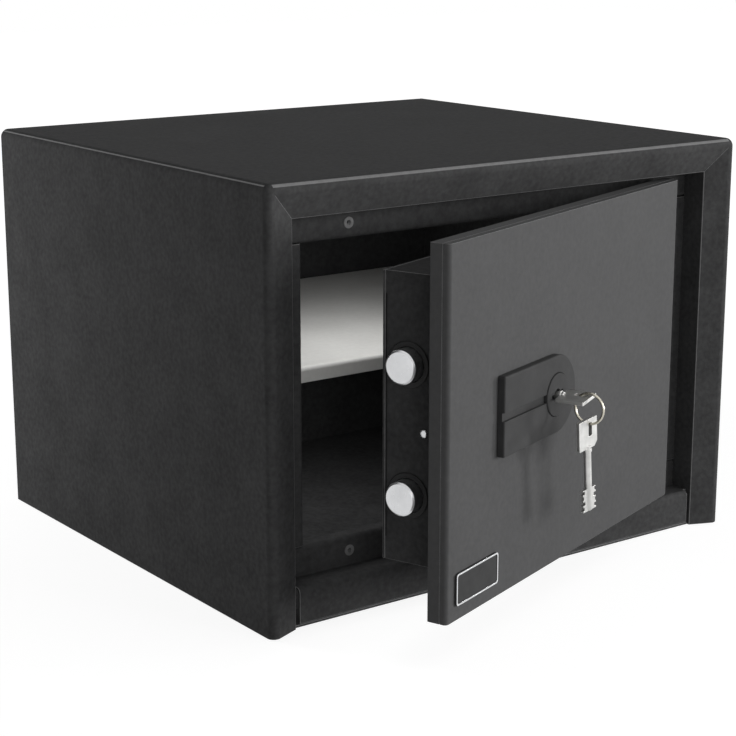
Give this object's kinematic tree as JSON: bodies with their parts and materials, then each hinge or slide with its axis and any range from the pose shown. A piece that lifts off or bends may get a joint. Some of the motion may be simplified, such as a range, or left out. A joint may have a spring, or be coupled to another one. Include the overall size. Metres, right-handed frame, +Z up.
{
  "type": "furniture safe",
  "caption": "Free-standing sheet-steel furniture safe with a hinged box door, sliding round bolts, a double-bit key lock, a shelf and a key ring.",
  "frame": {"origin": "middle of the floor panel's underside, at the level of the surface that the safe stands on", "axes": "+X to the hinge side of the door, +Y from the front to the back, +Z up"},
  "size_m": [0.445, 0.5144, 0.32],
  "materials": {
    "coated": "fine-textured black powder coat, satin",
    "shelf_coat": "light grey powder coat, satin",
    "door": "fine-textured charcoal powder coat, satin",
    "plastic": "black moulded plastic, satin",
    "plated": "bright nickel plate",
    "nickel": "nickel-plated, softly polished",
    "zinc": "zinc plate",
    "steel": "plain steel, lightly oiled",
    "brass": "sawn brass",
    "bearing": "natural bearing plastic"
  },
  "bodies": {
    "cabinet": {"cabinet_shell": "coated", "back_panel": "coated", "floor_panel": "coated", "bottom_rail": "coated", "top_stop": "coated", "keeper_post": "coated", "hinge_post": "coated", "shelf": "shelf_coat", "shelf_support_left_front": "coated", "shelf_support_left_rear": "coated", "shelf_support_right_front": "coated", "shelf_support_right_rear": "coated", "hinge_bracket_lower": "coated", "hinge_bracket_upper": "coated", "hinge_pin_lower": "steel", "hinge_pin_upper": "steel", "thrust_washer": "bearing"},
    "door": {"door_pan": "door", "door_inner_plate": "coated", "drill_guard": "steel", "boltwork_box": "coated", "boltwork_cover": "coated", "cover_screw_free_lower": "zinc", "cover_screw_free_upper": "zinc", "cover_screw_hinge_lower": "zinc", "cover_screw_hinge_upper": "zinc", "side_rivet": "plated", "hinge_bush_lower": "brass", "hinge_bush_upper": "brass", "bolt_bush_upper": "plastic", "bolt_bush_lower": "plastic", "bolt_guide": "steel", "escutcheon": "plastic", "rosette": "plastic", "badge_plate": "plastic", "lock_case": "zinc", "lock_cover": "zinc", "lever_post_upper": "steel", "lever_post_lower": "steel", "lock_screw_upper": "zinc", "lock_screw_lower": "zinc", "lever_1": "brass", "lever_2": "brass", "lever_3": "brass", "lever_4": "brass", "lever_5": "brass", "lever_6": "brass"},
    "boltwork": {"bolt_upper": "plated", "bolt_lower": "plated", "bolt_screw_upper": "zinc", "bolt_screw_lower": "zinc", "bolt_carriage": "steel", "lock_bolt": "brass", "link_screw": "zinc"},
    "inserted_key": {"key": "nickel", "lock_curtain": "brass"},
    "ring": {"key_ring": "nickel"},
    "second_key": {"spare_key": "nickel"}
  },
  "joints": [
    {"name": "door_hinge", "type": "hinge", "parent": "cabinet", "child": "door", "pos_m": [0.1675, -0.165, 0.162], "axis": [0, 0, 1], "range_deg": [-20.4, 69.6]},
    {"name": "bolt_slide", "type": "slide", "parent": "door", "child": "boltwork", "axis": [-0.9373, -0.3486, 0], "range_m": [0, 0.016]},
    {"name": "key_turn", "type": "hinge", "parent": "door", "child": "inserted_key", "pos_m": [-0.02835, -0.26664, 0.163], "axis": [0.3486, -0.9373, 0], "range_deg": [-1, 361]},
    {"name": "ring_swing", "type": "hinge", "parent": "inserted_key", "child": "ring", "pos_m": [-0.01558, -0.2939, 0.16335], "axis": [-0.9373, -0.3486, 0], "range_deg": [-6, 80]},
    {"name": "spare_key_swing", "type": "hinge", "parent": "ring", "child": "second_key", "pos_m": [-0.01558, -0.2939, 0.1446], "axis": [0.3486, -0.9373, 0], "range_deg": [-35, 35]}
  ],
  "couplings": [
    {"joint": "key_turn", "follows": "bolt_slide", "rad_per_m": 392.7}
  ]
}
